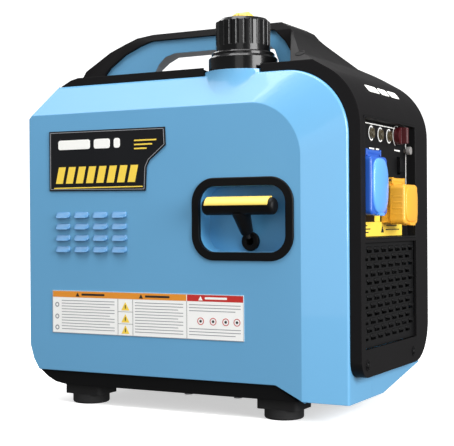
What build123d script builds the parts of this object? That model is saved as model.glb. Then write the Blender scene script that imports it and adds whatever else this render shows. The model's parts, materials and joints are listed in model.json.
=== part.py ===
"""Inverter generator: suitcase body, recoil starter, filler cap, control panel and engine set.

Frame: +X to the control end, -Y to the starter side, +Z up.
The origin is on the floor under the middle of the body.  Units are millimetres.
"""
import os

from build123d import *

os.makedirs("parts", exist_ok=True)

# --- body ---------------------------------------------------------------------------------
WALL = 3.0
GAP = 0.3
X_LEFT = -225.0
X_FLAT = 161.5
X_EDGE = 211.5
Y_FLAT = 140.0
Y_EDGE = 120.5
Z_FLAT = 370.0
Z_EDGE = 407.6
Z_SKIRT = 42.5
Z_LEG = 25.0
Y_SEAM = -50.0

# --- dark spine and handle ----------------------------------------------------------------
SPINE_HALF = 118.0
SPINE_TOP = 418.0
SPINE_END = 226.0
SPINE_LOW = 52.0
SPINE_WALL = 3.5
HANDLE_TOP = 480.0
LINER_HALF = 36.0
PANEL_Y0, PANEL_Y1 = -106.0, 72.0
PANEL_Z0, PANEL_Z1 = 210.0, 352.0
GRILLE_Z0, GRILLE_Z1 = 84.0, 206.0
PANEL_FLOOR = 214.5
EXHAUST_END = -232.0

# --- filler -------------------------------------------------------------------------------
FILL_X, FILL_Y = 62.0, -88.0
BOSS_R = 47.0
BOSS_TOP = 412.0
NECK_R = 22.0
CAP_R = 33.3
CAP_LOW = 436.5
CAP_TOP = 477.0

# --- starter ------------------------------------------------------------------------------
RING_X, RING_Z = 86.0, 234.5
RING_W, RING_H = 134.0, 98.0
RING_BAND = 10.0
POCKET_DEPTH = 26.0
GRIP_X, GRIP_Y, GRIP_Z = 89.0, -152.0, 249.0
GUIDE_Z = 208.0

# --- engine -------------------------------------------------------------------------------
CRANK_X, CRANK_Z = 44.0, 165.0
SHAFT_R = 8.0
STROKE = 36.0
ROD_LENGTH = 65.0
BORE_R = 20.5
CYL_Y = 23.0

# --- base ---------------------------------------------------------------------------------
TRAY_X0, TRAY_X1 = -216.0, 158.0
TUB_HALF = 115.0
TRAY_TOP = 60.0
FOOT_XS = (-153.0, 123.0)
FOOT_Y = 106.0
FOOT_R = 23.5
FOOT_H = 12.0

XZ = Plane.XZ


def save(builder, name):
    """Label a finished piece and write it as its own file."""
    builder.part.label = name
    export_step(builder.part, f"parts/{name}.step")


def y_plane(y):
    """Sketch plane seen from the starter side, X right and Z up, at this Y."""
    return XZ.offset(-y)


def x_plane(x):
    """Sketch plane seen from the control end, Y right and Z up, at this X."""
    return Plane.YZ.offset(x)


def box(x0, x1, y0, y1, z0, z1, mode=Mode.ADD):
    """Box between two corners, added to the part being built."""
    with Locations(((x0 + x1) / 2, (y0 + y1) / 2, (z0 + z1) / 2)):
        Box(x1 - x0, y1 - y0, z1 - z0, mode=mode)


def rod_y(x, z, y0, y1, radius, mode=Mode.ADD):
    """Cylinder along Y."""
    with Locations(Location((x, (y0 + y1) / 2, z), (90, 0, 0))):
        Cylinder(radius, y1 - y0, mode=mode)


def rod_x(y, z, x0, x1, radius, mode=Mode.ADD):
    """Cylinder along X."""
    with Locations(Location(((x0 + x1) / 2, y, z), (0, 90, 0))):
        Cylinder(radius, x1 - x0, mode=mode)


def rod_z(x, y, z0, z1, radius, mode=Mode.ADD):
    """Cylinder along Z."""
    with Locations((x, y, (z0 + z1) / 2)):
        Cylinder(radius, z1 - z0, mode=mode)


def side_outline(plane, x_right, z_top, dip, corner, cut, inset=0.0):
    """Outline of a side cover: rounded top right, leg at the right, cut top left."""
    with BuildSketch(plane) as outline:
        with BuildLine():
            Polyline(
                (X_LEFT, 74),
                (-219.5, 56),
                (-211, Z_SKIRT),
                (128, Z_SKIRT),
                dip,
                (x_right, dip[1] - 3),
                (x_right, z_top),
                (cut[0], z_top),
                (X_LEFT, cut[1]),
                close=True,
            )
        make_face()
        fillet(outline.vertices().group_by(Axis.X)[-1].sort_by(Axis.Y)[-1], corner)
        if inset:
            offset(amount=-inset, kind=Kind.INTERSECTION, mode=Mode.REPLACE)
    return outline.sketch


def cover_outlines(sign, inset=0.0):
    """Outlines of the flat face and of the bevel's outer edge, starter side or rear."""
    y_flat = sign * (Y_FLAT - inset)
    flat = side_outline(y_plane(y_flat), X_FLAT, Z_FLAT, (156, 28.5), 66, (X_LEFT + 4, 366), inset)
    edge = side_outline(
        y_plane(sign * Y_EDGE), X_EDGE, Z_EDGE, (168, Z_LEG), 78, (-190.5, 368), inset
    )
    return flat, edge


def cover_solid(sign, seam, inset=0.0):
    """Solid of a side cover from its face to the seam, drawn in by an inset."""
    flat, edge = cover_outlines(sign, inset)
    depth = sign * (sign * Y_EDGE - seam) + (1.0 if inset else 0.0)
    with BuildPart() as solid:
        loft([flat, edge], ruled=True)
        extrude(edge, amount=depth, dir=(0, -sign, 0))
        if sign > 0:
            heel = [(-12, 10), (-12, 21.9 + inset), (120, 45 + inset), (145, 46 + inset), (145, 10)]
            extrude(polygon(x_plane(120), heel), amount=100, dir=(1, 0, 0), mode=Mode.SUBTRACT)
    return solid.part


def cut_common_openings():
    """Openings that both side covers share: base tray, control end and exhaust end."""
    box(TRAY_X0 - 1, TRAY_X1 + 1, -116, 116, 20, 64, Mode.SUBTRACT)
    box(200, 213, PANEL_Y0 + 2, PANEL_Y1 - 2, GRILLE_Z0, PANEL_Z1, Mode.SUBTRACT)
    box(X_LEFT - 2, -219, -96, 96, 80, 350, Mode.SUBTRACT)


def ring_rectangle(y0, y1, width, height, radius, mode=Mode.ADD):
    """Rounded block round the starter opening between two Y planes."""
    with BuildSketch(y_plane(y0)) as face:
        with Locations((RING_X, RING_Z)):
            RectangleRounded(width, height, radius)
    extrude(face.sketch, amount=y1 - y0, dir=(0, 1, 0), mode=mode)


# --- blue covers --------------------------------------------------------------------------
def front_shell():
    """Starter-side cover with the starter opening, vents and filler boss."""
    solid = cover_solid(-1, Y_SEAM)
    hollow = cover_solid(-1, Y_SEAM, WALL)
    with BuildPart() as shell:
        add(solid)
        rod_z(FILL_X, FILL_Y, 366, BOSS_TOP, BOSS_R)
        box(0, 130, Y_SEAM, 0, 360, 420, Mode.SUBTRACT)
        add(hollow, mode=Mode.SUBTRACT)
        with BuildPart(mode=Mode.PRIVATE) as wall:
            rod_z(FILL_X, FILL_Y, 366, BOSS_TOP, BOSS_R)
            box(0, 130, Y_SEAM, 0, 360, 420, Mode.SUBTRACT)
        add(wall.part)
        rod_z(FILL_X, FILL_Y, 360, BOSS_TOP - WALL, BOSS_R - WALL, Mode.SUBTRACT)
        rod_z(FILL_X, FILL_Y, 400, 420, NECK_R + 4, Mode.SUBTRACT)
        cut_common_openings()
        ring_rectangle(-150, -130, RING_W - 16, RING_H - 16, 24, Mode.SUBTRACT)
        with Locations(*[(-171 + 28.6 * i, -138, 240 - 14.4 * j) for i in range(4) for j in range(4)]):
            Box(20, 12, 4.5, mode=Mode.SUBTRACT)
    save(shell, "front_shell")


def rear_shell():
    """Rear cover with the service opening."""
    solid = cover_solid(1, Y_SEAM + GAP)
    hollow = cover_solid(1, Y_SEAM + GAP, WALL)
    with BuildPart() as shell:
        add(solid)
        add(hollow, mode=Mode.SUBTRACT)
        cut_common_openings()
        rod_z(FILL_X, FILL_Y, 395, 420, BOSS_R + 1, Mode.SUBTRACT)
        box(-118, 58, 130, 145, 122, 298, Mode.SUBTRACT)
    save(shell, "rear_shell")


def service_door():
    """Rear service door with a locating lip."""
    with BuildPart() as door:
        box(-124, 64, 140.05, 143, 116, 304)
        fillet(door.edges().filter_by(Axis.Y), 10)
        chamfer(door.faces().sort_by(Axis.Y)[-1].edges(), 1.5)
        box(-117.7, 57.7, 136, 140.05, 122.3, 297.7)
        box(-114, 54, 135, 140.05, 126, 294, Mode.SUBTRACT)
        with Locations(*[(-30, 142, 160 + 20 * i) for i in range(6)]):
            Box(90, 10, 5, mode=Mode.SUBTRACT)
        for x, z in DOOR_SCREWS:
            rod_y(x, z, 130, 150, 2.2, Mode.SUBTRACT)
    save(door, "service_door")


DOOR_SCREWS = [(x, z) for x in (-114, 54) for z in (126, 294)]
TRAY_SCREWS = [(x, y) for x in (2, 70) for y in (-122, 122)]
FEET = [(x, y) for x in FOOT_XS for y in (-FOOT_Y, FOOT_Y)]


def case_screws():
    """Screws of the service door and of the tray's skirt, and the bolts of the feet."""
    with BuildPart() as screws:
        for x, z in DOOR_SCREWS:
            rod_y(x, z, 136.5, 143.1, 2.0)
            rod_y(x, z, 143.1, 145.2, 4.2)
        for x, y in TRAY_SCREWS:
            rod_z(x, y, 24.8, 35, 2.5)
            rod_z(x, y, 21.8, 24.9, 5)
        for x, y in FEET:
            rod_z(x, y, 3, 7, 6)
            rod_z(x, y, 7, 34, 3)
            with BuildSketch(Plane.XY.offset(28.05)) as nut:
                with Locations((x, y)):
                    RegularPolygon(6, 6)
            extrude(nut.sketch, amount=4)
    save(screws, "case_screws")


# --- dark spine and handle ----------------------------------------------------------------
LINER_OUTLINE = [
    (-176, SPINE_TOP),
    (-176, 429),
    (-166, 440),
    (-142, 456),
    (-118, 466),
    (-99, 471.5),
    (81, 471),
    (95.8, 455.5),
    (106.6, 437),
    (110, SPINE_TOP),
]


def polygon(plane, points):
    """Closed face through these points on a plane."""
    with BuildSketch(plane) as face:
        with BuildLine():
            Polyline(*points, close=True)
        make_face()
    return face.sketch


def band_solid():
    """Dark band over the top and down the control end."""
    with BuildPart() as band:
        with BuildSketch(y_plane(-SPINE_HALF)) as face:
            with BuildLine():
                Polyline(
                    (-190, Z_EDGE + GAP),
                    (-174, 415.5),
                    (-163, SPINE_TOP),
                    (SPINE_END, SPINE_TOP),
                    (SPINE_END, SPINE_LOW),
                    (X_EDGE + GAP, SPINE_LOW),
                    (X_EDGE + GAP, Z_EDGE + GAP),
                    close=True,
                )
            make_face()
            fillet(face.vertices().group_by(Axis.X)[-1].sort_by(Axis.Y)[-1], 80)
            inner = face.vertices().filter_by(lambda v: abs(v.X - X_EDGE - GAP) < 0.1)
            fillet(inner.sort_by(Axis.Y)[-1], 78)
        extrude(face.sketch, amount=2 * SPINE_HALF, dir=(0, 1, 0))
        with BuildSketch(x_plane(-200)) as end_view:
            with BuildLine():
                Polyline(
                    (-SPINE_HALF, SPINE_LOW),
                    (SPINE_HALF, SPINE_LOW),
                    (SPINE_HALF, SPINE_TOP + 5),
                    (-SPINE_HALF, SPINE_TOP + 5),
                    close=True,
                )
            make_face()
            fillet(end_view.vertices().group_by(Axis.Y)[0].sort_by(Axis.X)[-1], 50)
            fillet(end_view.vertices().group_by(Axis.X)[0].sort_by(Axis.Y)[0], 20)
        extrude(end_view.sketch, amount=440, dir=(1, 0, 0), mode=Mode.INTERSECT)
        box(-165, 150, -114.5, 114.5, 395, SPINE_TOP - SPINE_WALL, Mode.SUBTRACT)
        box(200, SPINE_END - SPINE_WALL, -114.5, 114.5, 110, 330, Mode.SUBTRACT)
        box(200, SPINE_END - SPINE_WALL, -98, 66, 56, 110, Mode.SUBTRACT)
    return band.part


def handle_solid():
    """Handle bridge with its shoulders, before the grip opening is cut."""
    arch = [
        (-225, 375),
        (-225, 396),
        (-217, 420),
        (-205, 438),
        (-165, 461),
        (-123, 477),
        (-98, HANDLE_TOP),
        (90, HANDLE_TOP),
        (101, 474),
        (112, 460.4),
        (139.6, 432.6),
        (157, 424),
        (183, 408.9),
        (150, 408),
        (-163, 414.8),
        (-190, 411),
    ]
    roof = [
        (-SPINE_HALF, 370),
        (-SPINE_HALF, SPINE_TOP),
        (-41, 466),
        (-37, 482),
        (37, 482),
        (41, 466),
        (SPINE_HALF, SPINE_TOP),
        (SPINE_HALF, 370),
    ]
    with BuildPart() as bridge:
        extrude(polygon(y_plane(-SPINE_HALF), arch), amount=2 * SPINE_HALF, dir=(0, 1, 0))
        extrude(polygon(x_plane(-230), roof), amount=440, dir=(1, 0, 0), mode=Mode.INTERSECT)
        for side in (-1, 1):
            flank = [
                (-240, side * 40),
                (104, side * 40),
                (140, side * 119.5),
                (-240, side * 119.5),
            ]
            extrude(polygon(Plane.XY.offset(SPINE_TOP), flank), amount=80, mode=Mode.SUBTRACT)
            wedge = [(-240, 370), (-190, 408.2), (-163, SPINE_TOP), (-163, 440), (-240, 440)]
            extrude(polygon(y_plane(side * 40), wedge), amount=80, dir=(0, side, 0), mode=Mode.SUBTRACT)
    return bridge.part


def spine_frame():
    """Dark band with the handle bridge, opened for the filler, handle and end inserts."""
    band = band_solid()
    bridge = handle_solid()
    with BuildPart() as spine:
        add(band)
        add(bridge)
        liner = polygon(y_plane(0), LINER_OUTLINE)
        extrude(liner, amount=130, both=True, mode=Mode.SUBTRACT)
        rod_z(FILL_X, FILL_Y, 395, 440, BOSS_R + 1.5, Mode.SUBTRACT)
        box(205, 235, PANEL_Y0, PANEL_Y1, PANEL_Z0, PANEL_Z1, Mode.SUBTRACT)
        box(205, 235, PANEL_Y0, PANEL_Y1, GRILLE_Z0, GRILLE_Z1, Mode.SUBTRACT)
    save(spine, "spine_frame")


def handle_liner():
    """Blue grip liner under the dark bridge."""
    near = [
        (-100, SPINE_TOP - 1),
        (-96, 429),
        (-90, 440),
        (-80, 449),
        (-65, 453),
        (72, 452.5),
        (80, 446),
        (85, 432),
        (87, SPINE_TOP - 1),
    ]
    far = [
        (-140, SPINE_TOP - 1),
        (-137, 432),
        (-130, 443),
        (-118, 452),
        (-103, 459),
        (72, 460),
        (80, 452),
        (85, 436),
        (87, SPINE_TOP - 1),
    ]
    with BuildPart() as liner:
        with BuildSketch(y_plane(-LINER_HALF)) as side:
            with BuildLine():
                Polyline(*LINER_OUTLINE, close=True)
            make_face()
            offset(amount=-GAP, kind=Kind.INTERSECTION, mode=Mode.REPLACE)
        extrude(side.sketch, amount=2 * LINER_HALF, dir=(0, 1, 0))
        loft(
            [polygon(y_plane(-LINER_HALF - 1), near), polygon(y_plane(LINER_HALF + 1), far)],
            ruled=True,
            mode=Mode.SUBTRACT,
        )
        rod_z(FILL_X, FILL_Y, 415, 440, BOSS_R + 1.5, Mode.SUBTRACT)
    save(liner, "handle_liner")


def exhaust_end_panel():
    """Dark louvred panel of the exhaust end, with its sloped top corner."""
    profile = [
        (X_LEFT - GAP, 60),
        (EXHAUST_END, 66),
        (EXHAUST_END, 366),
        (-192.5, 408),
        (-191.4, 407.9),
        (X_LEFT - GAP, 368.8),
    ]
    with BuildPart() as panel:
        side = polygon(y_plane(-SPINE_HALF), profile)
        extrude(side, amount=2 * SPINE_HALF, dir=(0, 1, 0))
        rows = [(-228, 0, 92 + 13 * i) for i in range(11)]
        with Locations(*rows):
            Box(20, 150, 6, mode=Mode.SUBTRACT)
        rod_x(5, 285, -240, -220, 19, Mode.SUBTRACT)
    save(panel, "exhaust_end_panel")


# --- base ---------------------------------------------------------------------------------
def base_tray():
    """Dark base tray: a skirt under the covers and a tub inside them."""
    skirt = [
        (-210.5, 42.2),
        (-199, 33.5),
        (-186, 27.5),
        (-170, 25),
        (155, 25),
        (126, 42.2),
    ]
    with BuildPart() as tray:
        extrude(polygon(y_plane(-137), skirt), amount=274, dir=(0, 1, 0))
        spur = [(127, 43), (134, 20), (160, 20), (160, 43)]
        extrude(polygon(y_plane(116), spur), amount=25, dir=(0, 1, 0), mode=Mode.SUBTRACT)
        box(-208, 150, -TUB_HALF, TUB_HALF, 42.2, TRAY_TOP)
        box(118, 150, -TUB_HALF, TUB_HALF, 25, TRAY_TOP)
        box(-196, 130, -TUB_HALF + 2, TUB_HALF - 2, 28, TRAY_TOP + 1, Mode.SUBTRACT)
        for x, y in FEET:
            rod_z(x, y, 20, 60, 3.2, Mode.SUBTRACT)
        for x, y in TRAY_SCREWS:
            rod_z(x, y, 20, 36, 2.5, Mode.SUBTRACT)
    save(tray, "base_tray")


def rubber_feet():
    """Four rubber feet: a square flange over a round pad, counterbored for the bolt."""
    with BuildPart() as feet:
        for x, y in FEET:
            box(x - 27, x + 27, y - 21, y + 21, FOOT_H, 24.9)
        fillet(feet.edges().filter_by(Axis.Z), 5)
        for x, y in FEET:
            rod_z(x, y, 0, FOOT_H, FOOT_R)
        fillet(feet.edges().filter_by(GeomType.CIRCLE).group_by(Axis.Z)[0], 3)
        for x, y in FEET:
            rod_z(x, y, -1, 7, 7.5, Mode.SUBTRACT)
            rod_z(x, y, 6, 30, 3.2, Mode.SUBTRACT)
    save(feet, "rubber_feet")


# --- starter ------------------------------------------------------------------------------
PULL = Vector(GRIP_X - 87, GRIP_Y + 124, GRIP_Z - 211).normalized()


def starter_bezel():
    """Black frame round the starter opening."""
    with BuildPart() as bezel:
        ring_rectangle(-142.6, -140.05, RING_W, RING_H, 30)
        ring_rectangle(-140.05, -137, RING_W - 16.6, RING_H - 16.6, 23.7)
        front = bezel.faces().sort_by(Axis.Y)[0]
        fillet(front.edges(), 1.5)
        inner_w, inner_h = RING_W - 2 * RING_BAND, RING_H - 2 * RING_BAND
        ring_rectangle(-150, -130, inner_w, inner_h, 20, Mode.SUBTRACT)
    save(bezel, "starter_bezel")


def starter_pocket():
    """Blue recessed pocket behind the bezel."""
    with BuildPart() as pocket:
        back = -Y_FLAT + POCKET_DEPTH
        ring_rectangle(-136.9, -135, RING_W - 4, RING_H - 4, 28)
        ring_rectangle(-136.9, back, RING_W - 17, RING_H - 17, 23)
        ring_rectangle(-138, back - 2.5, RING_W - 21, RING_H - 21, 20, Mode.SUBTRACT)
        rod_y(86, GUIDE_Z, -130, -105, 8, Mode.SUBTRACT)
    save(pocket, "starter_pocket")


def rope_guide():
    """Black funnel that the rope leaves through."""
    with BuildPart() as guide:
        rod_y(86, GUIDE_Z, -120.5, -116.55, 11.5)
        rod_y(86, GUIDE_Z, -116.55, -111, 7.9)
        fillet(guide.faces().sort_by(Axis.Y)[0].edges(), 1.8)
        rod_y(86, GUIDE_Z, -125, -105, 5, Mode.SUBTRACT)
    save(guide, "rope_guide")


def starter_grip():
    """Pull grip: a bar and a stem that points back to the rope guide."""
    with BuildPart() as grip:
        rod_x(GRIP_Y, GRIP_Z, GRIP_X - 47, GRIP_X + 47, 10)
        fillet(grip.edges().filter_by(GeomType.CIRCLE), 5)
        root = Vector(GRIP_X, GRIP_Y, GRIP_Z) - PULL * 37
        with BuildSketch(Plane(origin=root, z_dir=PULL)):
            Circle(7.5)
        with BuildSketch(Plane(origin=root + PULL * 34, z_dir=PULL)):
            Circle(11.5)
        loft()
        with BuildSketch(Plane(origin=root, z_dir=PULL)) as bore:
            Circle(2.2)
        extrude(bore.sketch, amount=6, mode=Mode.SUBTRACT)
    save(grip, "starter_grip")


def grip_inlay():
    """Yellow soft pad over the upper front of the grip bar."""
    with BuildPart() as inlay:
        rod_x(GRIP_Y, GRIP_Z, GRIP_X - 41, GRIP_X + 41, 11.6)
        rod_x(GRIP_Y, GRIP_Z, GRIP_X - 42, GRIP_X + 42, 10.05, Mode.SUBTRACT)
        with Locations(Location((GRIP_X, GRIP_Y - 10, GRIP_Z + 14.4), (35, 0, 0))):
            Box(100, 20, 20, mode=Mode.INTERSECT)
    save(inlay, "grip_inlay")


def starter_rope():
    """Starter rope between the guide and the grip."""
    root = Vector(GRIP_X, GRIP_Y, GRIP_Z) - PULL * 37
    with BuildPart() as rope:
        with BuildSketch(Plane(origin=root - PULL * 9, z_dir=PULL)) as section:
            Circle(2.1)
        extrude(section.sketch, amount=14.5)
    save(rope, "starter_rope")


def recoil_housing():
    """Recoil starter housing, a cup open to the engine."""
    with BuildPart() as housing:
        rod_y(CRANK_X, CRANK_Z, -109, -82, 66)
        fillet(housing.faces().sort_by(Axis.Y)[0].edges(), 6)
        rod_y(CRANK_X, CRANK_Z, -106, -80, 63, Mode.SUBTRACT)
        rod_y(CRANK_X, CRANK_Z, -106, -100, 6)
        rod_y(86, GUIDE_Z - 4, -115, -100, 8, Mode.SUBTRACT)
    save(housing, "recoil_housing")


def recoil_reel():
    """Rope reel that the starter rope winds on."""
    with BuildPart() as reel:
        rod_y(CRANK_X, CRANK_Z, -99.5, -97.5, 52)
        rod_y(CRANK_X, CRANK_Z, -97.5, -91.5, 42)
        rod_y(CRANK_X, CRANK_Z, -91.5, -89.5, 52)
        rod_y(CRANK_X, CRANK_Z, -110, -85, 6.05, Mode.SUBTRACT)
        for angle in range(0, 360, 60):
            spot = Vector(27, 0, 0).rotate(Axis.Y, angle)
            rod_y(CRANK_X + spot.X, CRANK_Z + spot.Z, -110, -85, 8, Mode.SUBTRACT)
    save(reel, "recoil_reel")


# --- filler and fuel ----------------------------------------------------------------------
def fuel_tank():
    """Fuel tank under the top cover, with its filler neck."""
    with BuildPart() as tank:
        box(-60, 155, -108, 95, 292, 362)
        fillet(tank.edges(), 14)
        with BuildPart(mode=Mode.PRIVATE) as space:
            box(-57, 152, -105, 92, 295, 359)
            fillet(space.edges(), 11)
        rod_z(FILL_X, FILL_Y + 10, 350, 372, 26)
        rod_z(FILL_X, FILL_Y, 360, 448, NECK_R)
        add(space.part, mode=Mode.SUBTRACT)
        rod_z(FILL_X, FILL_Y, 340, 450, NECK_R - 2, Mode.SUBTRACT)
    save(tank, "fuel_tank")


def filler_collar():
    """Black stepped collar that seals the neck to the cover."""
    with BuildPart() as collar:
        rod_z(FILL_X, FILL_Y, BOSS_TOP + 0.1, 430, 42)
        rod_z(FILL_X, FILL_Y, 430, CAP_LOW - 0.4, 38.5)
        chamfer(collar.edges().filter_by(GeomType.CIRCLE).group_by(Axis.Z)[1:], 1.5)
        rod_z(FILL_X, FILL_Y, 400, 440, NECK_R + 0.1, Mode.SUBTRACT)
    save(collar, "filler_collar")


def filler_strainer():
    """Mesh basket inside the filler neck."""
    with BuildPart() as strainer:
        rod_z(FILL_X, FILL_Y, 378, 446, NECK_R - 2.5)
        rod_z(FILL_X, FILL_Y, 380, 447, NECK_R - 3.5, Mode.SUBTRACT)
        for i in range(4):
            box(FILL_X - 30, FILL_X + 30, FILL_Y - 3, FILL_Y + 3, 386 + 14 * i, 393 + 14 * i, Mode.SUBTRACT)
            box(FILL_X - 3, FILL_X + 3, FILL_Y - 30, FILL_Y + 30, 386 + 14 * i, 393 + 14 * i, Mode.SUBTRACT)
    save(strainer, "filler_strainer")


def fuel_cap():
    """Ribbed fuel cap."""
    with BuildPart() as cap:
        rod_z(FILL_X, FILL_Y, CAP_LOW, CAP_TOP, CAP_R)
        chamfer(cap.edges().filter_by(GeomType.CIRCLE).group_by(Axis.Z)[-1], 4)
        for angle in range(0, 360, 15):
            spot = Vector(CAP_R + 1.2, 0, 0).rotate(Axis.Z, angle)
            rod_z(FILL_X + spot.X, FILL_Y + spot.Y, 444, CAP_TOP + 1, 2.4, Mode.SUBTRACT)
        rod_z(FILL_X, FILL_Y, CAP_LOW - 1, 450.4, NECK_R + 1.5, Mode.SUBTRACT)
        rod_z(FILL_X, FILL_Y, 466, CAP_TOP + 1, 5.05, Mode.SUBTRACT)
    save(cap, "fuel_cap")


def cap_gasket():
    """Rubber ring inside the cap, resting on the neck."""
    with BuildPart() as gasket:
        rod_z(FILL_X, FILL_Y, 448.1, 450.3, NECK_R + 1)
        rod_z(FILL_X, FILL_Y, 440, 460, NECK_R - 4, Mode.SUBTRACT)
    save(gasket, "cap_gasket")


def vent_knob():
    """Yellow vent knob on top of the cap."""
    with BuildPart() as knob:
        rod_z(FILL_X, FILL_Y, 467, CAP_TOP + 0.3, 5)
        rod_z(FILL_X, FILL_Y, CAP_TOP + 0.3, 484, 13.5)
        chamfer(knob.edges().filter_by(GeomType.CIRCLE).group_by(Axis.Z)[-1], 2.5)
        for angle in range(0, 360, 45):
            spot = Vector(14.2, 0, 0).rotate(Axis.Z, angle)
            rod_z(FILL_X + spot.X, FILL_Y + spot.Y, 477, 486, 2, Mode.SUBTRACT)
    save(knob, "vent_knob")


def fuel_line():
    """Fuel hose and the tap under the tank."""
    with BuildPart() as valve:
        box(-56, -40, 70, 90, 278, 291.9)
        rod_z(-48, 80, 264, 278, 4)
    save(valve, "fuel_valve")
    with BuildPart() as hose:
        with BuildLine() as path:
            start = Line((-48, 80, 263.9), (-48, 80, 190))
            RadiusArc(start @ 1, (-58, 80, 178), -14)
        with BuildSketch(Plane(origin=path.wire() @ 0, z_dir=path.wire() % 0)):
            Circle(4)
        sweep()
    save(hose, "fuel_hose")


# --- engine -------------------------------------------------------------------------------
def crankcase():
    """Engine crankcase with its foot plate and bores."""
    with BuildPart() as case:
        box(-4, 92, -18, 62, 115, 213)
        fillet(case.edges().filter_by(Axis.Y), 12)
        box(-24, 112, -18, 62, 105, 115.5)
        box(2, 86, -10, 63, 121, 207, Mode.SUBTRACT)
        rod_y(CRANK_X, CRANK_Z, -19, -9, SHAFT_R + 0.05, Mode.SUBTRACT)
        rod_x(CYL_Y, CRANK_Z, -6, 4, BORE_R + 2, Mode.SUBTRACT)
    save(case, "crankcase")


def crankcase_cover():
    """Rear cover of the crankcase with its bolts' bosses."""
    with BuildPart() as cover:
        box(-4, 92, 62.05, 68, 115, 213)
        fillet(cover.edges().filter_by(Axis.Y), 12)
        for x in (8, 80):
            for z in (127, 201):
                rod_y(x, z, 68, 72, 6)
        rod_y(56, 142, 60, 72, 6.2, Mode.SUBTRACT)
    save(cover, "crankcase_cover")


def dipstick():
    """Oil filler plug with its dipstick."""
    with BuildPart() as stick:
        rod_y(56, 142, 68.1, 82, 11)
        rod_y(56, 142, 48, 68.1, 5.8)
    save(stick, "oil_dipstick")


def cylinder():
    """Finned cylinder on the exhaust side of the crankcase."""
    with BuildPart() as barrel:
        rod_x(CYL_Y, CRANK_Z, -72, -4.1, 27)
        for i in range(8):
            rod_x(CYL_Y, CRANK_Z, -70 + 8 * i, -67 + 8 * i, 37)
        rod_x(CYL_Y, CRANK_Z, -75, 0, BORE_R, Mode.SUBTRACT)
    save(barrel, "cylinder")


def cylinder_head():
    """Cylinder head with cooling fins and the rocker cover."""
    with BuildPart() as head:
        box(-84, -72.1, -11, 57, 131, 199)
        for i in range(3):
            box(-98 + 5 * i, -95 + 5 * i, -13, 59, 129, 201)
        box(-99, -84, -4, 50, 140, 190)
        rod_y(-91, CRANK_Z, -15, -3, 4.2, Mode.SUBTRACT)
    save(head, "cylinder_head")
    with BuildPart() as rocker:
        box(-118, -99.1, -6, 52, 138, 192)
        fillet(rocker.edges().filter_by(Axis.X), 8)
        fillet(rocker.faces().sort_by(Axis.X)[0].edges(), 4)
    save(rocker, "rocker_cover")


def ignition():
    """Spark plug, its cap and the ignition coil."""
    with BuildPart() as plug:
        rod_y(-91, CRANK_Z, -40, -13.1, 5)
        rod_y(-91, CRANK_Z, -22, -13.1, 9)
        rod_y(-91, CRANK_Z, -13.1, -4, 4)
    save(plug, "spark_plug")
    with BuildPart() as boot:
        rod_y(-91, CRANK_Z, -58, -25, 8)
        fillet(boot.faces().sort_by(Axis.Y)[0].edges(), 4)
        rod_y(-91, CRANK_Z, -41, -20, 5.1, Mode.SUBTRACT)
    save(boot, "plug_cap")
    with BuildPart() as coil:
        box(22, 66, -60, -30, 229, 250)
        fillet(coil.edges().filter_by(Axis.Y), 4)
    save(coil, "ignition_coil")


def crankshaft():
    """Overhung crankshaft: shaft, web with counterweight and pin stub."""
    with BuildPart() as crank:
        rod_y(CRANK_X, CRANK_Z, -86, 4, SHAFT_R)
        rod_y(CRANK_X, CRANK_Z, 4, 13, 30)
        box(CRANK_X - 32, CRANK_X - 6, 3, 14, CRANK_Z + 12, CRANK_Z + 32, Mode.SUBTRACT)
        box(CRANK_X - 32, CRANK_X - 6, 3, 14, CRANK_Z - 32, CRANK_Z - 12, Mode.SUBTRACT)
    save(crank, "crankshaft")


def rotor_fan():
    """Alternator rotor cup with the cooling fan blades."""
    with BuildPart() as rotor:
        rod_y(CRANK_X, CRANK_Z, -66, -24, 60)
        rod_y(CRANK_X, CRANK_Z, -62, -20, 52, Mode.SUBTRACT)
        rod_y(CRANK_X, CRANK_Z, -66, -30, 13)
        for angle in range(0, 360, 30):
            spot = Vector(44, 0, 0).rotate(Axis.Y, angle)
            place = Location((CRANK_X + spot.X, -71, CRANK_Z + spot.Z), (0, angle + 25, 0))
            with Locations(place):
                Box(26, 10, 3)
        rod_y(CRANK_X, CRANK_Z, -80, -10, SHAFT_R, Mode.SUBTRACT)
    save(rotor, "rotor_fan")


def stator():
    """Toothed stator on the crankcase's front."""
    with BuildPart() as core:
        rod_y(CRANK_X, CRANK_Z, -56, -30, 34)
        for angle in range(0, 360, 20):
            spot = Vector(40, 0, 0).rotate(Axis.Y, angle)
            with Locations(Location((CRANK_X + spot.X, -43, CRANK_Z + spot.Z), (0, angle, 0))):
                Box(20, 26, 7)
        rod_y(CRANK_X, CRANK_Z, -30, -18.05, 24)
        rod_y(CRANK_X, CRANK_Z, -60, -10, 15, Mode.SUBTRACT)
    save(core, "stator")


def piston_and_rod():
    """Piston with its pin, and the rod whose big end stays beside the crank web."""
    x_pin = CRANK_X - STROKE / 2 - ROD_LENGTH
    with BuildPart() as piston:
        rod_x(CYL_Y, CRANK_Z, x_pin - 16, x_pin + 12, BORE_R - 0.08)
        rod_x(CYL_Y, CRANK_Z, x_pin - 11, x_pin + 13, BORE_R - 4, Mode.SUBTRACT)
        rod_y(x_pin, CRANK_Z, CYL_Y - 19, CYL_Y + 19, 5)
    save(piston, "piston")
    with BuildPart() as rod:
        x_big = x_pin + ROD_LENGTH
        rod_y(x_pin, CRANK_Z, CYL_Y - 6, CYL_Y + 6, 9)
        rod_y(x_big, CRANK_Z, CYL_Y - 6, CYL_Y + 6, 14)
        box(x_pin, x_big, CYL_Y - 4, CYL_Y + 4, CRANK_Z - 6, CRANK_Z + 6)
        rod_y(x_pin, CRANK_Z, 0, 60, 5.05, Mode.SUBTRACT)
        rod_y(x_big, CRANK_Z, 0, 60, 8.1, Mode.SUBTRACT)
    save(rod, "connecting_rod")


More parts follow.
